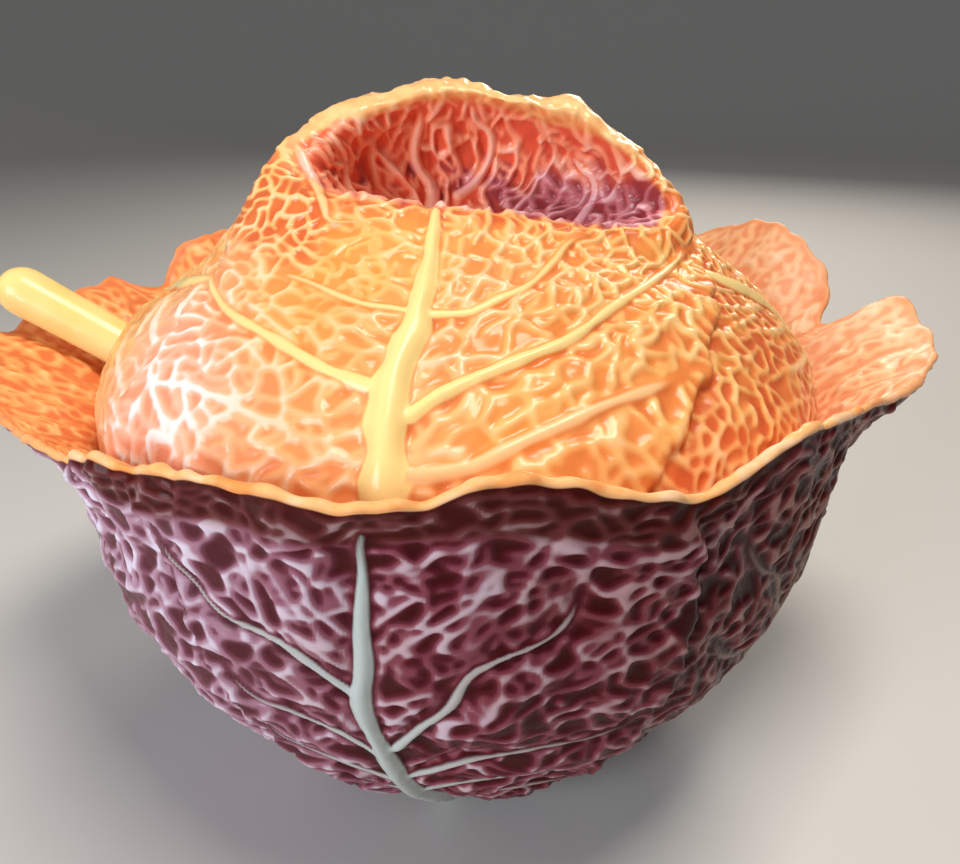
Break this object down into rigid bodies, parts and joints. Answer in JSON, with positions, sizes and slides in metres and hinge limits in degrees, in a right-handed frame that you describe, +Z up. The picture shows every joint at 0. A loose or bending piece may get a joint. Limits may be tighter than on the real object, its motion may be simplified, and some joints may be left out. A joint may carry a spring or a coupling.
{
  "type": "soup tureen",
  "caption": "Cabbage-leaf soup tureen: a deep leaf-rimmed bowl, a domed lid with a curled leaf as its grip, and a ladle whose handle leaves through a notch in the lid.",
  "frame": {"origin": "centre of the object's footprint, on the surface that the foot ring stands on, and on the bowl's axis", "axes": "+Z up along the bowl's axis, -Y towards the front of the lid's curled leaf, -X towards the ladle's handle"},
  "size_m": [0.3454, 0.2794, 0.2362],
  "materials": {
    "bowl_glaze": "glossy plum glaze over savoy-leaf relief, orange on the inner side of the rim",
    "lid_glaze": "glossy orange glaze over savoy-leaf relief with pale yellow ribs",
    "ladle_glaze": "smooth glossy pale yellow glaze"
  },
  "bodies": {
    "bowl": {"bowl": "bowl_glaze"},
    "ladle": {"ladle": "ladle_glaze"},
    "lid": {"lid": "lid_glaze"}
  },
  "joints": [
    {"name": "ladle_lift", "type": "slide", "parent": "bowl", "child": "ladle", "axis": [0, 0, 1], "range_m": [0, 0.17]},
    {"name": "lid_lift", "type": "slide", "parent": "ladle", "child": "lid", "axis": [0, 0, 1], "range_m": [0, 0.15]}
  ]
}
